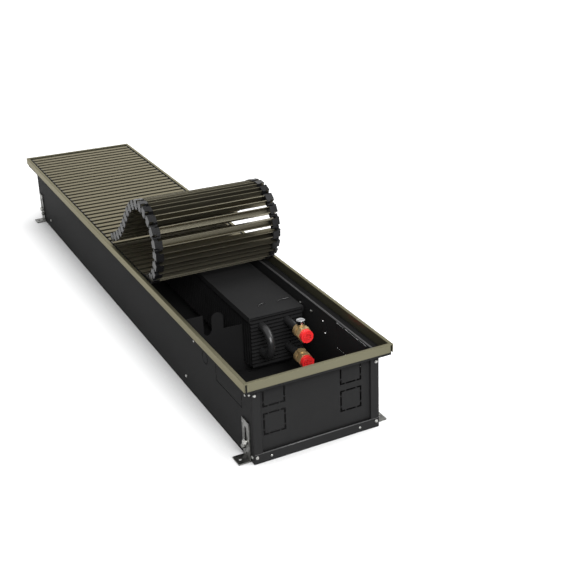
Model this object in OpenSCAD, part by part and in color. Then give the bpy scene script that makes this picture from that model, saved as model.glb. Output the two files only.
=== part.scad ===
// Trench convector heater for building into a floor, with its roll-up grille half rolled back.
// The origin is on the floor under the middle of the casing. X runs across the trench,
// Y along it with the pipe connections at -Y, and Z up.

/* [Casing] */
// Outer width of the rim
rim_w = 250; // [200:1:320]
// Outer length of the rim
rim_l = 1300; // [1250:1:1400]
// Height from the floor to the top of the rim
rim_h = 150; // [145:1:200]
// How far the casing stands in from the rim
body_inset = 16.5; // [14:0.5:18]
// How far the end panels stand back behind the casing's flanges
panel_recess = 4; // [2:0.5:6]
// Thickness of the casing's sheet steel
sheet = 1.2; // [1:0.1:1.5]
// Height of the folded band at each end
band_h = 16.4; // [12:0.2:20]
// Width of the flange that each side wall folds round the ends
flange_w = 13.5; // [10:0.5:16]

/* [Rim] */
// Width of the rim's visible top strip
rim_strip = 5.5; // [5:0.1:7]
// Height of the rim's outer face
rim_drop = 14; // [10:0.5:16]
// Wall of the rim profile
rim_wall = 1.6; // [1.2:0.1:1.8]
// How far the end bars' outer face stops short of a corner
corner_gap = 4.5; // [2:0.5:6]

/* [Grille] */
// Number of slats in the rolled part
roll_count = 22; // [20:1:22]
// Distance from one slat to the next
slat_pitch = 20.9; // [20.8:0.05:21]
// Distance from the rim's front face to the first slat when unrolled
first_slat = 19.7; // [18:0.1:20]
// Width of a slat
slat_w = 12; // [11:0.2:12.6]
// Depth of a slat with its end piece
slat_d = 17; // [15:0.5:18]
// Distance from the rim's inner edge to the ends of the slats
slat_side_gap = 2.5; // [1.5:0.1:4]
// Wall of the slat's channel profile
slat_wall = 1.4; // [1.2:0.1:1.6]
// Length of the plastic end piece
link_l = 14; // [12:0.5:16]
// Radius of a hinge eye
eye_r = 3.2; // [2.8:0.1:3.4]
// Radius of a hinge pin
pin_r = 1.45; // [1.2:0.05:1.6]
// Depth of the hinge line below the slat's top
hinge_drop = 8; // [7:0.5:9]

/* [Roll] */
// Steepest heading that the rolled part turns to, in degrees from flat
roll_peak_angle = 229; // [225:1:230]
// Distance along the grille from the first hinge to where the turn would start
turn_start = -57.475; // [-58.5:0.005:-56.5]
// Distance along the grille from the first hinge to where the turn is complete
turn_end = 334.4; // [334:0.1:338]
// How far the tail turns back towards flat, in degrees
tail_relief_angle = 29; // [28:1:30]
// Distance along the grille from the first hinge to where the tail turns back
tail_start = 309.32; // [304:0.02:313]
// Distance along the grille from the first hinge to where the tail's turn would end
tail_end = 459.8; // [459:0.1:468]

/* [Heat exchanger] */
// Distance from the fin block to the right wall
block_side_gap = 8.3; // [6:0.1:20]
// Distance from the middle of the casing to the fin block
block_x = 0.5; // [0:0.5:3]
// Underside of the fin block above the floor
block_z = 18; // [16:0.5:22]
// Distance from the exchanger's cover to the slats above it
cover_gap = 16.4; // [14:0.2:24]
// Distance from the front end of the casing to the fin block
front_space = 248.5; // [240:0.5:260]
// Distance from the fin block to the rear end of the casing
rear_space = 43.5; // [40:0.5:60]
// Distance between fins
fin_pitch = 9.75; // [8:0.25:15]
// Outer radius of the pipes
pipe_r = 7; // [6.5:0.25:8]
// Wall of the pipes
pipe_wall = 1; // [0.8:0.1:1.5]
// Distance from the fin block's left side to the left pipes
pipe_left_in = 20; // [18:0.5:24]
// Distance from the fin block's right side to the right pipes
pipe_right_in = 30; // [26:0.5:32]
// Height of the lower pipes as a share of the fin block's height
pipe_low_share = 0.31; // [0.3:0.005:0.33]
// Height of the upper pipes as a share of the fin block's height
pipe_high_share = 0.815; // [0.8:0.005:0.84]

/* [Connections] */
// Distance from the fin block to the face of the red caps
cap_reach = 80.5; // [78:0.5:84]
// Radius of a cap
cap_r = 11.25; // [11:0.25:13]
// Depth of a cap
cap_d = 8; // [7:0.25:10]
// Width across flats of the hexagon behind a cap
hex_af = 24; // [22:0.5:26]

/* [Knock-outs] */
// Side of a square knock-out in the end panels
knock_side = 37.5; // [30:0.5:38]
// Width of the cut round a knock-out in the end panels
knock_cut = 2.6; // [1:0.1:3]
// Width of the cut round a knock-out in the side walls
side_cut = 1.4; // [1:0.1:2]
// Width of the bridges that hold a knock-out
knock_bridge = 2.2; // [1.5:0.1:4]
// Length of the rectangular knock-out in the side walls
slot_knock_l = 101; // [80:1:110]
// Radius of the round knock-out in the side walls
round_knock_r = 11.5; // [9:0.5:13]

/* [Feet] */
// Width of a foot bracket
foot_w = 25; // [20:0.5:30]
// Height of a foot bracket
foot_h = 67; // [60:1:80]
// Thickness of a foot bracket
foot_t = 2; // [1.5:0.1:2.5]
// Reach of the foot plate from the casing
foot_reach = 20.5; // [18:0.5:24]
// Distance from the end of the rim to the middle of a foot
foot_in = 39.7; // [36:0.1:60]
// Bottom of the slot in a foot bracket
slot_low = 26; // [24:0.5:30]
// Length of the slot in a foot bracket
slot_len = 30; // [24:0.5:32]
// Radius of a clamp bolt's shank
bolt_r = 3; // [2.5:0.25:3]

/* [Hidden] */
$fn = 28;
part_gap = 0.4;
seam = 0.1;
overlap = 1;
running_gap = 0.5;
half_w = rim_w / 2;
half_l = rim_l / 2;
wall_x = half_w - body_inset;
wall_y = half_l - body_inset;
inner_x = wall_x - sheet;

slat_recess = 0.6;
slat_top = rim_h - slat_recess;
ledge_top = slat_top - slat_d - part_gap;
lip_gap = 0.6;
lip_x = half_w - rim_wall - lip_gap;
lip_y = half_l - rim_wall - lip_gap;
lip_top = rim_h - rim_wall - 2 * part_gap;
wall_top = ledge_top - sheet - seam;
mitre_cut = 0.2;
mitre_len = 30;

hinge_z = slat_top - hinge_drop;
slat_under = slat_d - hinge_drop;
link_floor = 1.2;
link_end = 1.6;
slat_half = half_w - rim_strip - slat_side_gap;
profile_half = slat_half - link_end;
slat_count = floor((rim_l - 2 * first_slat) / slat_pitch) + 1;
arm_gap = 0.6;
arm_w = (link_l - arm_gap) / 2;
arm_post = 2.5;
pin_fit = 0.05;
pin_short = 0.6;
link_in = slat_half - link_l;
arm_split = link_in + arm_w;
slat_step = slat_pitch / 2;

block_w = inner_x - block_side_gap - block_x;
block_front = front_space - wall_y;
block_l = 2 * wall_y - front_space - rear_space;
block_top = slat_top - slat_d - cover_gap - sheet;
block_h = block_top - block_z;
left_pipe_x = block_x + pipe_left_in;
right_pipe_x = block_x + block_w - pipe_right_in;
pipe_step = right_pipe_x - left_pipe_x;
pipe_z = block_z + block_h * pipe_low_share;
upper_pipe_z = block_z + block_h * pipe_high_share;
pipe_rise = upper_pipe_z - pipe_z;
bend_stub = 15;
rear_stub = 3;
fin_t = 0.9;
fin_count = floor(block_l / fin_pitch);
rib_count = 14;
rib_depth = 2.4;
cover_side = 0.6;
cover_flange = 9;

cap_face = block_front - cap_reach;
stub_r = 10;
stub_l = 5.6;
hex_l = 10;
barrel_r = 9;
collar_r = 12;
collar_l = 8;
boss_back = 24.5;
boss_r = 6;
boss_h = 14.5;
plug_r = 7.5;
plug_h = 13.5;
pipe_seat = 8;
barrel_l = 25;
vent_r = 7.4;
vent_h = 7;
vent_stem_r = 2.45;
vent_stem_h = 6;
vent_slot = 1.4;
relief_h = 1;
relief_ring_r = 7.4;
relief_inner_r = 6;
relief_bar = 1.5;
pipe_end = cap_face + barrel_l;

bracket_t = 1.5;
bracket_foot = 12;
bracket_front_in = 36;
bracket_rear_in = 45;
bracket_y = [block_front + bracket_front_in, block_front + block_l - bracket_rear_in];
notch_in = 36.9;
notch_w = 12.9;
tab_in = 51.5;
tab_w = 21.4;
shoulder_drop = 24.4;
bracket_drop = 9;

left_knock_in = 37.1;
right_knock_in = 46.3;
high_knock_drop = 21.7;
knock_step = 47.8;
knock_bridge_share = 0.25;
side_knock_in = 86.5;
side_knock_drop = 27.2;
side_knock_h = 47;
round_knock_in = 182;
round_knock_drop = 30.7;

foot_y = half_l - foot_in;
foot_x = wall_x + part_gap;
slot_r = bolt_r + running_gap;
clamp_z = slot_low + slot_r;
foot_hole_r = 3;
foot_hole_in = 7.5;
trim_hole_r = 2;
trim_hole_z = 10;
foot_screw_y = 7;
foot_screw_z = 19.5;
head_rim_share = 0.5;
head_top_share = 0.7;
bolt_head_r = 5.5;
bolt_head_h = 4.5;
bolt_nut_af = 10;
bolt_nut_h = 4;
end_screw_in = 5;
end_screw_drop = 13.2;
end_screw_low = 11;
side_screw_in = 5.5;
side_screw_drop = 12.7;
band_rivet_left_in = 27.6;
band_rivet_right_in = 33.7;
band_rivet_z = 8;
side_rivet_in = [22.5, 228.5];
side_rivet_drop = 21.7;
bracket_screw_z = 21.5;
cover_screw_in = [224.5, 265.5];
cover_screw_drop = 17;
cover_screw_l = 4;
cover_screw_r = 1.5;
screw_r = 2.7;
screw_h = 2;
rivet_r = 2;
rivet_h = 1.2;

function two_digits(i) = str(i < 10 ? "0" : "", i);
ROLL_SLATS = [for (i = [1:roll_count]) str("roll_slat_", two_digits(i))];
ROLL_LINKS = [for (i = [1:roll_count]) str("roll_links_", two_digits(i))];
FIXED = ["casing", "end_panels", "rim_bars", "fin_block", "exchanger_cover", "pipes", "valve_bodies",
    "flow_cap", "return_cap", "air_vent", "cross_brackets", "fasteners", "left_feet", "right_feet",
    "flat_slats", "flat_links"];

bronze = "#8b8670";
black = "#2b2b2c";
zinc = "#b9bcbd";

// The rolled part: the heading of each slat, and the hinge line before it

function clip(t) = max(0, min(1, t));
function ease(t) = (1 - cos(180 * clip(t))) / 2;
function heading(k) = roll_peak_angle * ease((k * slat_pitch - turn_start) / (turn_end - turn_start))
    - tail_relief_angle * ease((k * slat_pitch - tail_start) / (tail_end - tail_start));
function flat_y(i) = -half_l + first_slat + slat_pitch * i;
function hinge_at(k) = k == 0
    ? [flat_y(roll_count) - slat_step, hinge_z]
    : hinge_at(k - 1) + slat_pitch * [-cos(heading(k - 1)), sin(heading(k - 1))];

// Puts a slat's own frame, with its hinge line before it at +Y, at place k of the roll

module at_roll(k) {
    p = hinge_at(k);
    translate([0, p[0], p[1]]) rotate([-heading(k), 0, 0]) translate([0, -slat_step, 0]) children();
}

module at_flat(i) {
    translate([0, flat_y(i), hinge_z]) children();
}

// Grille pieces, in a slat's own frame

module slat() {
    color(bronze) rotate([90, 0, 90]) linear_extrude(2 * profile_half, center = true)
        difference() {
            translate([-slat_w / 2, link_floor - slat_under])
                square([slat_w, slat_d - link_floor]);
            translate([slat_wall - slat_w / 2, link_floor - slat_under - overlap])
                square([slat_w - 2 * slat_wall, slat_d - link_floor - slat_wall + overlap]);
        }
}

// One arm with its post and round end, reaching to +Y from the slat's side
module arm(from_x) {
    translate([from_x, slat_w / 2 - overlap / 2, -slat_under])
        cube([arm_w, arm_post + overlap / 2, link_floor]);
    translate([from_x, slat_w / 2, -slat_under])
        cube([arm_w, arm_post, slat_under + eye_r]);
    translate([from_x, slat_w / 2, -eye_r])
        cube([arm_w, slat_step - slat_w / 2, 2 * eye_r]);
    translate([from_x, slat_step, 0]) rotate([0, 90, 0]) cylinder(r = eye_r, h = arm_w);
}

module link() {
    plug_h = slat_d - link_floor - slat_wall;
    translate([link_in, slat_wall - slat_w / 2, -slat_under])
        cube([link_l, slat_w - 2 * slat_wall, plug_h + link_floor]);
    translate([link_in, -slat_w / 2, -slat_under])
        cube([link_l, slat_w, link_floor]);
    translate([profile_half, -slat_w / 2, -slat_under])
        cube([link_end, slat_w, slat_d]);
    arm(link_in);
    translate([arm_split - overlap, slat_step, 0]) rotate([0, 90, 0])
        cylinder(r = pin_r, h = arm_gap + arm_w - pin_short + overlap);
    difference() {
        mirror([0, 1, 0]) arm(arm_split + arm_gap);
        translate([arm_split, -slat_step, 0]) rotate([0, 90, 0])
            cylinder(r = pin_r + pin_fit, h = link_l);
    }
}

module links() {
    color(black) {
        link();
        mirror([1, 0, 0]) link();
    }
}

module flat_slats() {
    for (i = [roll_count:slat_count - 1]) at_flat(i) slat();
}

module flat_links() {
    for (i = [roll_count:slat_count - 1]) at_flat(i) links();
}

// Casing

module both_sides() {
    children();
    mirror([1, 0, 0]) children();
}

module both_ends() {
    children();
    mirror([0, 1, 0]) children();
}

// The cut round a knock-out, seen flat, with two bridges on each side
module knock_cut_2d(size, cut) {
    difference() {
        square(size, center = true);
        square([size[0] - 2 * cut, size[1] - 2 * cut], center = true);
        for (side = [-1, 1]) {
            translate([side * size[0] * knock_bridge_share, 0])
                square([knock_bridge, size[1] + overlap], center = true);
            translate([0, side * size[1] * knock_bridge_share])
                square([size[0] + overlap, knock_bridge], center = true);
        }
    }
}

module round_cut_2d(cut) {
    difference() {
        circle(r = round_knock_r);
        circle(r = round_knock_r - cut);
        rotate(45) square([2 * round_knock_r + overlap, knock_bridge], center = true);
        rotate(-45) square([2 * round_knock_r + overlap, knock_bridge], center = true);
    }
}

module side_cuts() {
    depth = 2 * overlap + sheet;
    translate([inner_x - overlap, side_knock_in - wall_y, wall_top - side_knock_drop])
        rotate([90, 0, 90]) linear_extrude(depth) knock_cut_2d([slot_knock_l, side_knock_h], side_cut);
    translate([inner_x - overlap, round_knock_in - wall_y, wall_top - round_knock_drop])
        rotate([90, 0, 90]) linear_extrude(depth) round_cut_2d(side_cut);
}

// The casing is flat sheets that meet at hairline seams

module side_wall() {
    low = sheet + seam;
    difference() {
        translate([inner_x, -wall_y, low]) cube([sheet, 2 * wall_y, wall_top - low]);
        side_cuts();
        both_ends() translate([inner_x - overlap, foot_y, clamp_z]) rotate([0, 90, 0])
            cylinder(r = bolt_r, h = sheet + 2 * overlap);
    }
}

module side_ledge() {
    translate([inner_x, -lip_y, ledge_top - sheet]) cube([lip_x - inner_x, 2 * lip_y, sheet]);
    translate([lip_x - sheet, -lip_y, ledge_top + seam]) cube([sheet, 2 * lip_y, lip_top - ledge_top - seam]);
}

module casing() {
    color(black) {
        translate([-wall_x, -wall_y, 0]) cube([2 * wall_x, 2 * wall_y, sheet]);
        both_sides() {
            side_wall();
            side_ledge();
            both_ends() translate([inner_x - flange_w, -wall_y, band_h + seam])
                cube([flange_w - seam, sheet, wall_top - band_h - seam]);
        }
        both_ends() translate([seam - inner_x, -wall_y, sheet + seam])
            cube([2 * (inner_x - seam), sheet, band_h - sheet - seam]);
    }
}

// An end panel is a tray whose folded edges reach forward to the casing's flanges and band
module end_panel() {
    half = inner_x - seam;
    low = sheet + seam;
    front = -wall_y + sheet + seam;
    y = front + panel_recess;
    lip_half = lip_x - sheet - seam;
    high_z = wall_top - high_knock_drop;
    difference() {
        translate([-half, y, low]) cube([2 * half, sheet, wall_top - low]);
        for (x = [left_knock_in - inner_x, inner_x - right_knock_in], z = [high_z - knock_step, high_z])
            translate([x, y - overlap, z]) rotate([-90, 0, 0])
                linear_extrude(sheet + 2 * overlap) knock_cut_2d([knock_side, knock_side], knock_cut);
    }
    for (x = [-half, half - sheet])
        translate([x, front, low]) cube([sheet, panel_recess + sheet, wall_top - low]);
    translate([-half, front, band_h - sheet]) cube([2 * half, panel_recess + sheet, sheet]);
    translate([-half, -lip_y, ledge_top - sheet]) cube([2 * half, lip_y + y + sheet, sheet]);
    translate([-lip_half, -lip_y, ledge_top + seam])
        cube([2 * lip_half, sheet, lip_top - ledge_top - seam]);
}

module end_panels() {
    color(black) {
        end_panel();
        rotate(180) end_panel();
    }
}

// A rectangular ring of the given outer half sizes, wall and heights
module ring(x, y, wall, low, high) {
    difference() {
        translate([-x, -y, low]) cube([2 * x, 2 * y, high - low]);
        translate([wall - x, wall - y, low - overlap])
            cube([2 * (x - wall), 2 * (y - wall), high - low + 2 * overlap]);
    }
}

module rim_bars() {
    inner = rim_strip - rim_wall;
    color(bronze) difference() {
        union() {
            ring(half_w, half_l, rim_wall, rim_h - rim_drop, rim_h);
            ring(half_w, half_l, rim_strip, rim_h - rim_wall, rim_h);
            ring(half_w - inner, half_l - inner, rim_wall, ledge_top, rim_h);
        }
        both_sides() both_ends() {
            translate([half_w, half_l, rim_h - mitre_len / 2]) rotate(45)
                cube([mitre_len, mitre_cut, 2 * mitre_len], center = true);
            translate([half_w - corner_gap, half_l - rim_wall - lip_gap / 2, rim_h - rim_drop - overlap])
                cube([corner_gap - rim_wall, rim_wall + overlap, rim_drop - rim_wall + overlap]);
        }
    }
}

// Heat exchanger

module pipe_bores(radius, low, high) {
    for (x = [left_pipe_x, right_pipe_x], z = [pipe_z, upper_pipe_z])
        translate([x, low, z]) rotate([-90, 0, 0]) cylinder(r = radius, h = high - low);
}

// The front fin, pressed into level ribs
module ribbed_fin() {
    step = block_h / rib_count;
    front = [for (i = [0:2 * rib_count]) [i % 2 == 0 ? 0 : -rib_depth, i * step / 2]];
    back = [for (i = [2 * rib_count:-1:0]) [fin_t + (i % 2 == 0 ? 0 : -rib_depth), i * step / 2]];
    difference() {
        translate([block_x, block_front, block_z]) rotate([90, 0, 90])
            linear_extrude(block_w) polygon(concat(front, back));
        pipe_bores(pipe_r, block_front - 2 * rib_depth, block_front + overlap);
    }
}

// A flat fin, pressed on the four pipes
module fin() {
    rotate([90, 0, 0]) linear_extrude(fin_t) difference() {
        translate([block_x, block_z]) square([block_w, block_h]);
        for (x = [left_pipe_x, right_pipe_x], z = [pipe_z, upper_pipe_z])
            translate([x, z]) circle(r = pipe_r);
    }
}

module fin_block() {
    color(black) {
        ribbed_fin();
        for (i = [1:fin_count]) translate([0, block_front + i * fin_pitch, 0]) fin();
    }
}

module exchanger_cover() {
    color(black) {
        translate([block_x - cover_side - sheet, block_front - rib_depth, block_top])
            cube([block_w + 2 * (cover_side + sheet), block_l + rib_depth, sheet]);
        for (x = [block_x - cover_side - sheet, block_x + block_w + cover_side])
            translate([x, block_front - rib_depth, block_top - cover_flange])
                cube([sheet, block_l + rib_depth, cover_flange + sheet]);
    }
}

// Half a turn of round bar about the origin, on the side of +Y
module half_bend(radius, r) {
    reach = radius + r + overlap;
    intersection() {
        rotate_extrude() translate([radius, 0]) circle(r = r);
        translate([-reach, 0, -reach]) cube([2 * reach, reach, 2 * reach]);
    }
}

// The whole run of the water, as a bar of radius r that reaches past the open ends by extra
module water_run(r, extra) {
    rear = block_front + block_l + rear_stub;
    for (z = [pipe_z, upper_pipe_z]) {
        translate([left_pipe_x, block_front - bend_stub, z]) rotate([-90, 0, 0])
            cylinder(r = r, h = rear - block_front + bend_stub);
        translate([right_pipe_x, pipe_end - extra, z]) rotate([-90, 0, 0])
            cylinder(r = r, h = rear - pipe_end + extra);
        translate([left_pipe_x + pipe_step / 2, rear, z]) half_bend(pipe_step / 2, r);
    }
    translate([left_pipe_x, block_front - bend_stub, pipe_z + pipe_rise / 2])
        rotate([0, 90, 180]) half_bend(pipe_rise / 2, r);
}

module pipes() {
    color(black) difference() {
        water_run(pipe_r, 0);
        water_run(pipe_r - pipe_wall, overlap);
    }
}

// Connections, in a frame on the pipe's axis with the cap's face at y = 0

module hexagon(across, length) {
    rotate([-90, 0, 0]) cylinder(d = across / cos(30), h = length, $fn = 6);
}

module valve_body(top_r, top_h) {
    behind_cap = cap_d + part_gap;
    difference() {
        union() {
            translate([0, behind_cap - stub_l, 0]) rotate([-90, 0, 0]) cylinder(r = stub_r, h = stub_l);
            translate([0, behind_cap, 0]) hexagon(hex_af, hex_l);
            translate([0, behind_cap + hex_l, 0]) rotate([-90, 0, 0])
                cylinder(r = barrel_r, h = barrel_l + pipe_seat - behind_cap - hex_l);
            translate([0, barrel_l + pipe_seat - collar_l, 0]) rotate([-90, 0, 0])
                cylinder(r = collar_r, h = collar_l);
            translate([0, boss_back, 0]) cylinder(r = top_r, h = top_h);
        }
        translate([0, barrel_l, 0]) rotate([-90, 0, 0])
            cylinder(r = pipe_r, h = pipe_seat + overlap);
    }
}

module valve_bodies() {
    color("#b08d4a") {
        difference() {
            translate([right_pipe_x, cap_face, upper_pipe_z]) valve_body(boss_r, boss_h);
            translate([right_pipe_x, cap_face + boss_back, upper_pipe_z + boss_h - vent_stem_h])
                cylinder(r = vent_stem_r + pin_fit, h = vent_stem_h + overlap);
        }
        translate([right_pipe_x, cap_face, pipe_z]) valve_body(plug_r, plug_h);
    }
}

module cap() {
    color("#d8202c") rotate([-90, 0, 0]) {
        difference() {
            cylinder(r = cap_r, h = cap_d);
            translate([0, 0, cap_d - stub_l]) cylinder(r = stub_r + part_gap, h = cap_d);
        }
        translate([0, 0, -relief_h]) {
            difference() {
                cylinder(r = relief_ring_r, h = relief_h + overlap);
                translate([0, 0, -overlap]) cylinder(r = relief_inner_r, h = relief_h + overlap);
            }
            for (turn = [0, 90]) rotate(turn) translate([-relief_inner_r, -relief_bar / 2, 0])
                cube([2 * relief_inner_r, relief_bar, relief_h + overlap]);
        }
    }
}

module flow_cap() {
    translate([right_pipe_x, cap_face, upper_pipe_z]) cap();
}

module return_cap() {
    translate([right_pipe_x, cap_face, pipe_z]) cap();
}

module air_vent() {
    color("#d9dcde") translate([right_pipe_x, cap_face + boss_back, upper_pipe_z + boss_h]) {
        difference() {
            translate([0, 0, part_gap]) cylinder(r = vent_r, h = vent_h);
            translate([-vent_r, -vent_slot / 2, part_gap + vent_h - vent_slot])
                cube([2 * vent_r, vent_slot, 2 * vent_slot]);
        }
        translate([0, 0, part_gap - vent_stem_h + overlap / 2])
            cylinder(r = vent_stem_r, h = vent_stem_h);
    }
}

// A cross bracket carries the fin block and reaches up beside it

module cross_bracket() {
    notch_x = notch_in - inner_x;
    tab_x = tab_in - inner_x;
    tab_r = tab_w / 2;
    shoulder_z = block_top - shoulder_drop;
    bracket_top = ledge_top - bracket_drop;
    tab_top = bracket_top - tab_r;
    rotate([90, 0, 0]) linear_extrude(bracket_t) difference() {
        union() {
            translate([-inner_x, sheet]) square([2 * inner_x, block_z - sheet]);
            translate([-inner_x, sheet]) square([inner_x + block_x - cover_side, shoulder_z - sheet]);
            translate([-inner_x, shoulder_z - overlap])
                square([notch_in, bracket_top - shoulder_z + overlap]);
            translate([tab_x, shoulder_z - overlap]) square([tab_w, tab_top - shoulder_z + overlap]);
            translate([tab_x + tab_r, tab_top]) circle(r = tab_r);
        }
        translate([notch_x + notch_w / 2, shoulder_z]) circle(r = notch_w / 2);
    }
    translate([-inner_x, -bracket_foot, sheet]) cube([2 * inner_x, bracket_foot, bracket_t]);
    translate([block_x, -bracket_foot, block_z - bracket_t]) cube([block_w, bracket_foot, bracket_t]);
    translate([-inner_x, -bracket_foot, sheet]) cube([bracket_t, bracket_foot, 2 * block_z]);
}

module cross_brackets() {
    color(black) for (y = bracket_y) translate([0, y, 0]) cross_bracket();
}

// Fasteners

module pan_head(radius, height) {
    rim = height * head_rim_share;
    cylinder(r = radius, h = rim);
    translate([0, 0, rim]) cylinder(r1 = radius, r2 = radius * head_top_share, h = height - rim);
}

// A head on the outside of a side wall, and one on the inside
module on_wall(y, z) {
    translate([wall_x, y, z]) rotate([0, 90, 0]) children();
}

module in_wall(y, z) {
    translate([inner_x, y, z]) rotate([0, -90, 0]) children();
}

module on_end(x, z) {
    translate([x, -wall_y, z]) rotate([90, 0, 0]) children();
}

module clamp_bolt() {
    reach = foot_t + 2 * part_gap;
    translate([0, 0, -sheet - bolt_head_h]) cylinder(r = bolt_r, h = reach + sheet + bolt_head_h);
    translate([0, 0, reach]) pan_head(bolt_head_r, bolt_head_h);
    translate([0, 0, -sheet - bolt_nut_h]) cylinder(d = bolt_nut_af / cos(30), h = bolt_nut_h, $fn = 6);
}

module stud() {
    cylinder(r = cover_screw_r, h = cover_screw_l);
    translate([0, 0, cover_screw_l - screw_h]) pan_head(screw_r, screw_h);
}

module fasteners() {
    corner_x = wall_x - end_screw_in;
    color(zinc) {
        both_ends() {
            for (x = [-corner_x, corner_x], z = [wall_top - end_screw_drop, end_screw_low])
                on_end(x, z) pan_head(screw_r, screw_h);
            for (x = [band_rivet_left_in - inner_x, inner_x - band_rivet_right_in])
                on_end(x, band_rivet_z) pan_head(rivet_r, rivet_h);
        }
        both_sides() {
            both_ends() {
                for (z = [wall_top - side_screw_drop, end_screw_low])
                    on_wall(side_screw_in - wall_y, z) pan_head(screw_r, screw_h);
                on_wall(foot_y, clamp_z) clamp_bolt();
            }
            for (in = side_rivet_in)
                on_wall(in - wall_y, wall_top - side_rivet_drop) pan_head(rivet_r, rivet_h);
            for (y = bracket_y) on_wall(y - bracket_foot / 2, bracket_screw_z) pan_head(screw_r, screw_h);
        }
        for (in = cover_screw_in) in_wall(in - wall_y, wall_top - cover_screw_drop) stud();
    }
}

// Feet: an L bracket with a long slot, which slides on its clamp bolt

module foot() {
    difference() {
        union() {
            translate([foot_x, -foot_w / 2, 0]) cube([foot_t, foot_w, foot_h]);
            translate([foot_x, -foot_w / 2, 0]) cube([foot_reach, foot_w, foot_t]);
        }
        for (z = [clamp_z, slot_low + slot_len - slot_r])
            translate([foot_x - overlap, 0, z]) rotate([0, 90, 0])
                cylinder(r = slot_r, h = foot_t + 2 * overlap);
        translate([foot_x - overlap, -slot_r, clamp_z])
            cube([foot_t + 2 * overlap, 2 * slot_r, slot_len - 2 * slot_r]);
        translate([foot_x - overlap, 0, trim_hole_z]) rotate([0, 90, 0])
            cylinder(r = trim_hole_r, h = foot_t + 2 * overlap);
        translate([foot_x + foot_reach - foot_hole_in, 0, -overlap])
            cylinder(r = foot_hole_r, h = foot_t + 2 * overlap);
    }
    translate([foot_x + foot_t, foot_screw_y, foot_screw_z]) rotate([0, 90, 0])
        pan_head(bolt_head_r - overlap, bolt_head_h);
}

module feet() {
    color(zinc) both_ends() translate([0, -foot_y, 0]) foot();
}

module right_feet() {
    feet();
}

module left_feet() {
    mirror([1, 0, 0]) feet();
}

casing();
end_panels();
rim_bars();
fin_block();
exchanger_cover();
pipes();
valve_bodies();
flow_cap();
return_cap();
air_vent();
cross_brackets();
fasteners();
left_feet();
right_feet();
flat_slats();
flat_links();
for (i = [0:roll_count - 1]) {
    at_roll(i) slat();
    at_roll(i) links();
}
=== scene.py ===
import math

import bmesh
import bpy
from mathutils import Matrix, Vector


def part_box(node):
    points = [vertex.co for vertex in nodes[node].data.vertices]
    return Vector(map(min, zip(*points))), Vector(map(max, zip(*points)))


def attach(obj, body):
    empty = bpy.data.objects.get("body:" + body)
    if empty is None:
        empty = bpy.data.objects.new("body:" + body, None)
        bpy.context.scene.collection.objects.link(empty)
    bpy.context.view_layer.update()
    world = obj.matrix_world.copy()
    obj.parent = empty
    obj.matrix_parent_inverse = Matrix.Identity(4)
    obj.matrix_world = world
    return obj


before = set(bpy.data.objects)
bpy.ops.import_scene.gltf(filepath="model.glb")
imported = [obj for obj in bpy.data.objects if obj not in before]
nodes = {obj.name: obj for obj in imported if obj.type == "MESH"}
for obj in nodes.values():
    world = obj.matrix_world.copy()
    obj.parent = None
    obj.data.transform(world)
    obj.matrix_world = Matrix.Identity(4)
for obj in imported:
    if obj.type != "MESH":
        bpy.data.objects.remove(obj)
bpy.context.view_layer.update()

# Lengths are in metres and light is in watts.

# Camera at the photograph's place and angle

CAMERA_AT = Vector((-0.62624, -1.88100, 0.88566))
AZIMUTH = math.radians(-30.84)
ELEVATION = math.radians(21.62)
ROLL = math.radians(-0.07)
LENS_MM = 64.75
SENSOR_MM = 36
SHIFT_X = -0.1622
SHIFT_Y = -0.0775
CLIP_NEAR = 0.05
CLIP_FAR = 100


def make_camera():
    back = Vector((math.sin(AZIMUTH) * math.cos(ELEVATION),
                   -math.cos(AZIMUTH) * math.cos(ELEVATION),
                   math.sin(ELEVATION)))
    right = Vector((0, 0, 1)).cross(back).normalized()
    up = back.cross(right)
    turn = Matrix((right, up, back)).transposed()
    turn = turn @ Matrix.Rotation(ROLL, 3, "Z")
    data = bpy.data.cameras.new("camera")
    data.lens = LENS_MM
    data.sensor_width = SENSOR_MM
    data.shift_x = SHIFT_X
    data.shift_y = SHIFT_Y
    data.clip_start = CLIP_NEAR
    data.clip_end = CLIP_FAR
    cam = bpy.data.objects.new("camera", data)
    cam.matrix_world = Matrix.Translation(CAMERA_AT) @ turn.to_4x4()
    bpy.context.collection.objects.link(cam)
    bpy.context.scene.camera = cam


make_camera()


# Shader helpers

BEVEL_SAMPLES = 4
SHADE_SAMPLES = 8
# Painted shade: how far the colour darkens from enclosed to open surfaces
PAINTED_SHADE_LOW = -0.6
PAINTED_SHADE_HIGH = 1.15


def shade(colour, share):
    """This share of a colour."""
    return tuple(share * c for c in colour)


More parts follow.
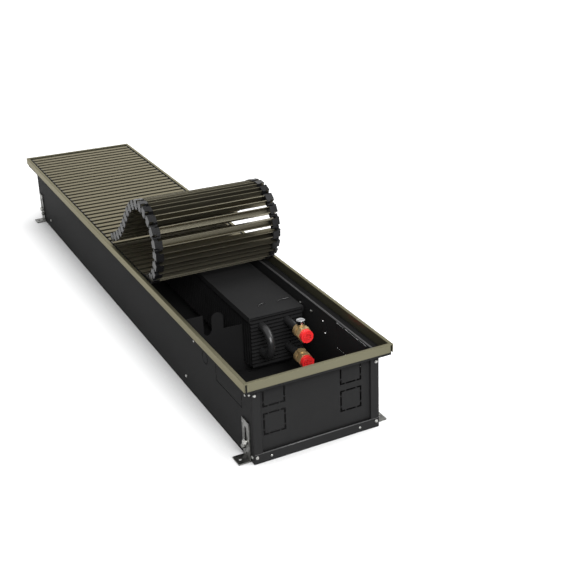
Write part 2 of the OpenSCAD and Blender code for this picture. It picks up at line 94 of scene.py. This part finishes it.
class Shader:
    """A node material with short names for what the materials below use."""

    def __init__(self, name):
        self.mat = bpy.data.materials.new(name)
        self.mat.use_nodes = True
        self.tree = self.mat.node_tree
        self.bsdf = self.tree.nodes["Principled BSDF"]
        self.coords = self.node("ShaderNodeTexCoord").outputs["Object"]

    def node(self, kind, **values):
        """A new node; each value goes to the input of that name, or else to the property."""
        n = self.tree.nodes.new(kind)
        for key, value in values.items():
            if key in n.inputs:
                n.inputs[key].default_value = value
            else:
                setattr(n, key, value)
        return n

    def link(self, a, b):
        self.tree.links.new(a, b)

    def noise(self, scale, detail=2.0, rough=0.5, stretch=(1, 1, 1)):
        """Noise from 0 to 1 that is finer along an axis with a larger stretch."""
        place = self.node("ShaderNodeMapping", Scale=stretch)
        n = self.node("ShaderNodeTexNoise", Scale=scale, Detail=detail, Roughness=rough)
        self.link(self.coords, place.inputs["Vector"])
        self.link(place.outputs["Vector"], n.inputs["Vector"])
        return n.outputs["Fac"]

    def spread(self, source, low, high, start=0.0):
        """The source's range from start to 1, moved to low to high."""
        n = self.node("ShaderNodeMapRange")
        n.inputs["From Min"].default_value = start
        n.inputs["To Min"].default_value = low
        n.inputs["To Max"].default_value = high
        self.link(source, n.inputs["Value"])
        return n.outputs["Result"]

    def mix(self, factor, a, b):
        """From a at factor 0 to b at factor 1; each is a colour or a socket."""
        n = self.node("ShaderNodeMix", data_type="RGBA")
        self.link(factor, n.inputs["Factor"])
        for value, socket in ((a, n.inputs[6]), (b, n.inputs[7])):
            if isinstance(value, tuple):
                socket.default_value = (*value, 1)
            else:
                self.link(value, socket)
        return n.outputs[2]

    def bump(self, source, strength, distance, under):
        """Bumps by the source, over the normal that lies under them."""
        n = self.node("ShaderNodeBump", Strength=strength, Distance=distance)
        self.link(source, n.inputs["Height"])
        if under is not None:
            self.link(under, n.inputs["Normal"])
        return n.outputs["Normal"]

    def rounded(self, width):
        """The surface normal with every sharp edge rounded to this radius."""
        return self.node("ShaderNodeBevel", samples=BEVEL_SAMPLES, Radius=width).outputs["Normal"]

    def openness(self, reach, local):
        """1 where nothing stands near within reach, less where the surface is enclosed."""
        n = self.node("ShaderNodeAmbientOcclusion", samples=SHADE_SAMPLES, only_local=local)
        n.inputs["Distance"].default_value = reach
        return n.outputs["AO"]

    def painted_crease_shade(self, colour, dark, reach, low=PAINTED_SHADE_LOW, local=True):
        """The colour with painted shade: darker where the surface lies deep between walls or
        raised edges.
        """
        open_share = self.spread(self.openness(reach, local), low, PAINTED_SHADE_HIGH)
        return self.mix(open_share, dark, colour)

    def set(self, **values):
        """Sets sockets of the shader to numbers, colours or other sockets; gives the material."""
        for key, value in values.items():
            socket = self.bsdf.inputs[key.replace("_", " ")]
            if hasattr(value, "is_output"):
                self.link(value, socket)
            elif isinstance(value, tuple) and len(value) == 3:
                socket.default_value = (*value, 1)
            else:
                socket.default_value = value
        return self.mat


# Materials: the radii are those of worn or folded edges, and the depths are of surface bumps

MACHINED_EDGE = 0.0004
SHEET_EDGE = 0.0006
MOULDED_EDGE = 0.0008
RIM_EDGE = 0.0018
FOLDED_EDGE = 0.0025
GRAIN_DEPTH = 0.0004
FINE_DEPTH = 0.0003
ANODIC_TINT = (0.85, 0.80, 0.66)


def powder_coat(name, dark, light, rough=(0.42, 0.56), grain=1.0, edge=SHEET_EDGE, specular=0.01,
                painted_shade_width=0.0):
    """Fine-grained black coat, with painted shade that darkens it inside a recess up to the given
    width.
    """
    s = Shader(name)
    fine = s.noise(2600, 3, 0.6)
    colour = s.mix(s.noise(9, 4, 0.55), dark, light)
    # Painted shade: the coat darkens where the surface is enclosed
    if painted_shade_width:
        colour = s.painted_crease_shade(colour, shade(dark, 0.4), painted_shade_width)
    return s.set(Base_Color=colour, Roughness=s.spread(fine, *rough), Specular_IOR_Level=specular,
                 Normal=s.bump(fine, 0.16 * grain, GRAIN_DEPTH, s.rounded(edge)))


def anodised(name, dark, light, rough=(0.26, 0.38), lines=(2, 900, 900), metal=0.8, reach=0.004,
             edge=MACHINED_EDGE):
    """Bronze anodised aluminium with fine drawing lines along the profile, and painted shade where
    other parts stand near.
    """
    s = Shader(name)
    drawn = s.noise(3.0, 3, 0.6, lines)
    colour = s.mix(s.noise(7, 3, 0.5), dark, light)
    # Painted shade: darker where the rim or slats lie close to other parts
    colour = s.painted_crease_shade(colour, shade(dark, 0.25), reach, -0.35, local=False)
    return s.set(Base_Color=colour, Metallic=metal, Roughness=s.spread(drawn, *rough),
                 Specular_IOR_Level=0.2, Specular_Tint=ANODIC_TINT,
                 Normal=s.bump(drawn, 0.10, GRAIN_DEPTH, s.rounded(edge)))


def plastic(name, dark, light, rough, specular=0.5):
    """Moulded plastic with a faint grain and painted shade in its recesses."""
    s = Shader(name)
    fine = s.noise(1500, 2, 0.5)
    broad = s.noise(40, 3, 0.5)
    # Painted shade in the recesses, such as the ring and cross on the caps
    colour = s.painted_crease_shade(s.mix(broad, dark, light), shade(dark, 0.12), 0.003)
    return s.set(Base_Color=colour, Roughness=s.spread(broad, *rough), Specular_IOR_Level=specular,
                 Normal=s.bump(fine, 0.08, FINE_DEPTH, s.rounded(MACHINED_EDGE)))


def zinc_plate(name, dark, light, rough=(0.3, 0.5)):
    """Galvanised sheet: soft spangles and small scratches."""
    s = Shader(name)
    cells = s.node("ShaderNodeTexVoronoi", feature="F1", Scale=160)
    s.link(s.coords, cells.inputs["Vector"])
    tone = s.node("ShaderNodeSeparateColor")
    s.link(cells.outputs["Color"], tone.inputs["Color"])
    scratch = s.noise(60, 4, 0.7, (1, 1, 14))
    return s.set(Base_Color=s.mix(tone.outputs["Red"], dark, light), Metallic=1.0,
                 Roughness=s.spread(tone.outputs["Green"], *rough),
                 Normal=s.bump(scratch, 0.08, FINE_DEPTH, None))


def turned_brass(name):
    """Brass with fine rings from the lathe and a little tarnish."""
    s = Shader(name)
    rings = s.noise(4, 3, 0.6, (30, 700, 30))
    tarnish = s.noise(90, 4, 0.6)
    colour = s.mix(tarnish, (0.39, 0.26, 0.108), (0.57, 0.415, 0.218))
    return s.set(Base_Color=colour, Metallic=0.55, Roughness=s.spread(tarnish, 0.26, 0.4),
                 Normal=s.bump(rings, 0.10, FINE_DEPTH, s.rounded(MACHINED_EDGE)))


def chrome(name):
    s = Shader(name)
    haze = s.noise(200, 2, 0.5)
    colour = s.mix(haze, (0.24, 0.245, 0.25), (0.34, 0.34, 0.34))
    return s.set(Base_Color=colour, Metallic=1.0, Roughness=s.spread(haze, 0.12, 0.22),
                 Normal=s.rounded(MOULDED_EDGE))


# The casing and end panels get painted shade inside the trough, reaching 0.2 m
coat_out = powder_coat("powder_coat", (0.0188, 0.0188, 0.0190), (0.0238, 0.0238, 0.0240),
                       edge=FOLDED_EDGE, painted_shade_width=0.2)
bracket_coat = powder_coat("bracket_coat", (0.0115, 0.0115, 0.0117), (0.0150, 0.0150, 0.0152),
                           (0.46, 0.6))
coat_sheet = powder_coat("coated_sheet", (0.022, 0.022, 0.0223), (0.028, 0.028, 0.0283),
                         (0.46, 0.6))
fins = powder_coat("coated_fins", (0.010, 0.010, 0.0103), (0.015, 0.015, 0.0153),
                   (0.4, 0.55), 0.6)
tube = powder_coat("coated_tube", (0.014, 0.014, 0.0145), (0.022, 0.022, 0.0225),
                   (0.22, 0.34), 0.8, specular=0.4)
# A lighter, glossier copy of the black coat: painted highlight along the folds
fold_highlight_coat = powder_coat("fold_painted_highlight", (0.050, 0.050, 0.0503), (0.062, 0.062, 0.0623),
                        (0.24, 0.32), 0.4, specular=0.5)
rim_metal = anodised("anodised_rim", (0.118, 0.112, 0.074), (0.150, 0.143, 0.098),
                     (0.3, 0.42), (900, 2, 900), edge=RIM_EDGE)
# The slats get painted shade in the gaps between them
slat_metal = anodised("anodised_slat", (0.108, 0.100, 0.073), (0.140, 0.130, 0.097),
                      metal=0.85, reach=0.006)
link_plastic = plastic("link_plastic", (0.006, 0.006, 0.0063), (0.010, 0.010, 0.0105),
                       (0.24, 0.36), 0.16)
red_plastic = plastic("red_plastic", (0.90, 0.026, 0.028), (0.96, 0.036, 0.038), (0.3, 0.42))
zinc = zinc_plate("galvanised", (0.09, 0.09, 0.085), (0.21, 0.21, 0.20))
screw_metal = zinc_plate("zinc_screw", (0.30, 0.30, 0.29), (0.42, 0.42, 0.40), (0.24, 0.38))
wire_metal = zinc_plate("wire_clip", (0.06, 0.06, 0.06), (0.10, 0.10, 0.10), (0.3, 0.4))
brass = turned_brass("turned_brass")
vent_metal = chrome("vent_chrome")

LOOKS = {
    "casing": coat_out, "end_panels": coat_out, "rim_bars": rim_metal, "fin_block": fins,
    "exchanger_cover": coat_sheet, "pipes": tube, "valve_bodies": brass,
    "flow_cap": red_plastic, "return_cap": red_plastic, "air_vent": vent_metal,
    "cross_brackets": bracket_coat, "fasteners": screw_metal, "left_feet": zinc,
    "right_feet": zinc, "flat_slats": slat_metal, "flat_links": link_plastic,
}
for node in nodes:
    if node.startswith("roll_slat"):
        LOOKS[node] = slat_metal
    if node.startswith("roll_links"):
        LOOKS[node] = link_plastic
for node, material in LOOKS.items():
    mesh = nodes[node].data
    mesh.materials.clear()
    mesh.materials.append(material)


# Round pieces that lie along a path: the cover's wire clips and the folds of the sheet, whose
# lighter coat is a painted highlight

def round_piece(name, path, radius, material, start, turn=0.0, sides=10):
    """A round bar along path, which is turned about Z and then moved to start."""
    mesh = bpy.data.meshes.new(name)
    bm = bmesh.new()
    path = [Vector(p) for p in path]
    angles = [2 * math.pi * k / sides for k in range(sides)]
    rings = []
    for i, here in enumerate(path):
        ahead = path[min(i + 1, len(path) - 1)] - path[max(i - 1, 0)]
        ahead.normalize()
        across = ahead.cross(Vector((0, 0, 1))).normalized()
        over = across.cross(ahead)
        rings.append([bm.verts.new(here + radius * (math.cos(a) * across + math.sin(a) * over))
                      for a in angles])
    for one, two in zip(rings, rings[1:]):
        for k in range(sides):
            beside = (k + 1) % sides
            bm.faces.new((one[k], one[beside], two[beside], two[k]))
    bm.faces.new(rings[0][::-1])
    bm.faces.new(rings[-1])
    bmesh.ops.recalc_face_normals(bm, faces=bm.faces)
    for face in bm.faces:
        face.smooth = len(face.verts) == 4
    bm.transform(Matrix.Translation(Vector(start)) @ Matrix.Rotation(turn, 4, "Z"))
    bm.to_mesh(mesh)
    bm.free()
    piece = bpy.data.objects.new(name, mesh)
    bpy.context.collection.objects.link(piece)
    mesh.materials.append(material)
    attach(piece, "trough")


WIRE = 0.0007
CLIP_IN_Y = 0.036
LEFT_CLIP_IN_X = 0.033
LEFT_CLIP_LENGTH = 0.015
LEFT_CLIP_TURN = 0.35
RIGHT_CLIP_IN_X = 0.069
RIGHT_CLIP_LENGTH = 0.026
RIGHT_CLIP_TURN = 0.12


def clip_path(length):
    """A low bridge of wire: foot, rise, straight run with a small kink, and foot."""
    rise = kink = 3 * WIRE
    inset = 4 * WIRE
    return [(0, 0, 0), (inset / 2, 0, rise * 0.8), (inset, 0, rise), (length * 0.4, 0, rise),
            (length * 0.45, kink, rise), (length * 0.55, kink, rise), (length * 0.6, 0, rise),
            (length - inset, 0, rise), (length - inset / 2, 0, rise * 0.8), (length, 0, 0)]


cover_low, cover_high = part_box("exchanger_cover")
for side, clip_x, length, turn in (
        ("left", LEFT_CLIP_IN_X, LEFT_CLIP_LENGTH, LEFT_CLIP_TURN),
        ("right", RIGHT_CLIP_IN_X, RIGHT_CLIP_LENGTH, RIGHT_CLIP_TURN)):
    round_piece(side + "_wire_clip", clip_path(length), WIRE, wire_metal,
                (cover_low.x + clip_x, cover_low.y + CLIP_IN_Y, cover_high.z + WIRE), turn)

# Where the sheet is folded: along the top of the side walls, and over the band at each end; these
# rods wear a lighter copy of the coat as a painted highlight

INSIDE = 0.1073
LEDGE_TOP = 0.132
WALL_END = 0.6335
BAND_TOP = 0.0164
WALL_FOLD = 0.0016
BAND_FOLD = 0.0009
FOLD_OUT = 0.001
PROUD = 0.0002
FOLD_SIDES = 16
wall_path = [(0, -WALL_END, 0), (0, WALL_END, 0)]
band_path = [(-INSIDE, 0, 0), (INSIDE, 0, 0)]
for side, x in (("left", -1), ("right", 1)):
    round_piece(side + "_wall_fold", wall_path, WALL_FOLD, fold_highlight_coat,
                (x * (INSIDE + FOLD_OUT), 0, LEDGE_TOP + PROUD - WALL_FOLD), sides=FOLD_SIDES)
for end, y in (("near", -1), ("far", 1)):
    round_piece(end + "_band_fold", band_path, BAND_FOLD, fold_highlight_coat,
                (0, y * (WALL_END + PROUD - BAND_FOLD), BAND_TOP - BAND_FOLD / 2),
                sides=FOLD_SIDES)


# Floor, backdrop and light

FLOOR_SIZE = 40
FLOOR_Z = -0.0005
FLOOR_DARK = (0.70, 0.70, 0.70)
FLOOR_LIGHT = (0.72, 0.72, 0.72)
FLOOR_LIFT = 0.66
# Painted shadow on the floor: the brightening fades within this reach of an object
PAINTED_SHADOW_REACH = 0.09
PAINTED_SHADOW_START = 0.45
HORIZON = (0.16, 0.16, 0.164, 1)
ZENITH = (0.64, 0.645, 0.65, 1)
ZENITH_AT = 0.85
WHITE = (1, 1, 1, 1)
# Name, place, target, width and height, power
LAMPS = (
    ("key", (2.1, -1.0, 2.5), (0, 0, 0.1), (2.2, 2.6), 62),
    ("front_fill", (-0.5, -2.95, 1.7), (0, -0.4, 0.12), (1.8, 1.2), 91),
    ("back_softbox", (2.2, 3.6, 1.9), (0, 0, 0.1), (3.6, 1.7), 12),
)


def seen_rays(tree):
    """1 for rays from the camera, off a glossy surface or through glass, else 0."""
    path = tree.nodes.new("ShaderNodeLightPath")
    total = path.outputs["Is Camera Ray"]
    for kind in ("Is Glossy Ray", "Is Transmission Ray"):
        step = tree.nodes.new("ShaderNodeMath")
        step.operation = "MAXIMUM"
        tree.links.new(total, step.inputs[0])
        tree.links.new(path.outputs[kind], step.inputs[1])
        total = step.outputs["Value"]
    return total


def make_floor():
    """A pale floor, brightened towards white where it is seen, with a painted shadow where that
    brightening fades close to an object.
    """
    bpy.ops.mesh.primitive_plane_add(size=FLOOR_SIZE, location=(0, 0, FLOOR_Z))
    floor = bpy.context.object
    floor.name = "studio_floor"
    s = Shader("floor_white")
    s.set(Base_Color=s.mix(s.noise(3, 2, 0.5), FLOOR_DARK, FLOOR_LIGHT),
          Roughness=0.9, Specular_IOR_Level=0.0)
    # Painted shadow: the glow drops where an object stands near, so the floor darkens there
    lift_and_painted_shadow = s.spread(s.openness(PAINTED_SHADOW_REACH, False), 0.0, FLOOR_LIFT, PAINTED_SHADOW_START)
    glow = s.node("ShaderNodeEmission")
    s.link(lift_and_painted_shadow, glow.inputs["Strength"])
    none = s.node("ShaderNodeEmission", Strength=0.0)
    pick = s.node("ShaderNodeMixShader")
    add = s.node("ShaderNodeAddShader")
    s.link(seen_rays(s.tree), pick.inputs["Fac"])
    s.link(none.outputs["Emission"], pick.inputs[1])
    s.link(glow.outputs["Emission"], pick.inputs[2])
    s.link(s.bsdf.outputs["BSDF"], add.inputs[0])
    s.link(pick.outputs["Shader"], add.inputs[1])
    s.link(add.outputs["Shader"], s.tree.nodes["Material Output"].inputs["Surface"])
    floor.data.materials.append(s.mat)


def make_world():
    """A studio room: bright overhead, darker towards the horizon, white where it is seen."""
    world = bpy.data.worlds.new("studio")
    bpy.context.scene.world = world
    world.use_nodes = True
    tree = world.node_tree
    tree.nodes.clear()
    seen = tree.nodes.new("ShaderNodeBackground")
    seen.inputs["Color"].default_value = WHITE
    seen.inputs["Strength"].default_value = 1.0
    lit = tree.nodes.new("ShaderNodeBackground")
    lit.inputs["Strength"].default_value = 1.0
    coords = tree.nodes.new("ShaderNodeTexCoord")
    split = tree.nodes.new("ShaderNodeSeparateXYZ")
    ramp = tree.nodes.new("ShaderNodeValToRGB")
    for element, place, colour in zip(ramp.color_ramp.elements, (0.0, ZENITH_AT),
                                      (HORIZON, ZENITH)):
        element.position = place
        element.color = colour
    tree.links.new(coords.outputs["Generated"], split.inputs["Vector"])
    tree.links.new(split.outputs["Z"], ramp.inputs["Fac"])
    tree.links.new(ramp.outputs["Color"], lit.inputs["Color"])
    mix = tree.nodes.new("ShaderNodeMixShader")
    tree.links.new(seen_rays(tree), mix.inputs["Fac"])
    tree.links.new(lit.outputs["Background"], mix.inputs[1])
    tree.links.new(seen.outputs["Background"], mix.inputs[2])
    out = tree.nodes.new("ShaderNodeOutputWorld")
    tree.links.new(mix.outputs["Shader"], out.inputs["Surface"])


def area_light(name, place, target, size, power):
    """A rectangular soft light at place that looks at target."""
    data = bpy.data.lights.new(name, "AREA")
    data.shape = "RECTANGLE"
    data.size, data.size_y = size
    data.energy = power
    lamp = bpy.data.objects.new(name, data)
    aim = (Vector(target) - Vector(place)).to_track_quat("-Z", "Y")
    lamp.matrix_world = Matrix.Translation(Vector(place)) @ aim.to_matrix().to_4x4()
    bpy.context.collection.objects.link(lamp)


make_floor()
make_world()
for lamp in LAMPS:
    area_light(*lamp)

view = bpy.context.scene.view_settings
view.view_transform = "Standard"
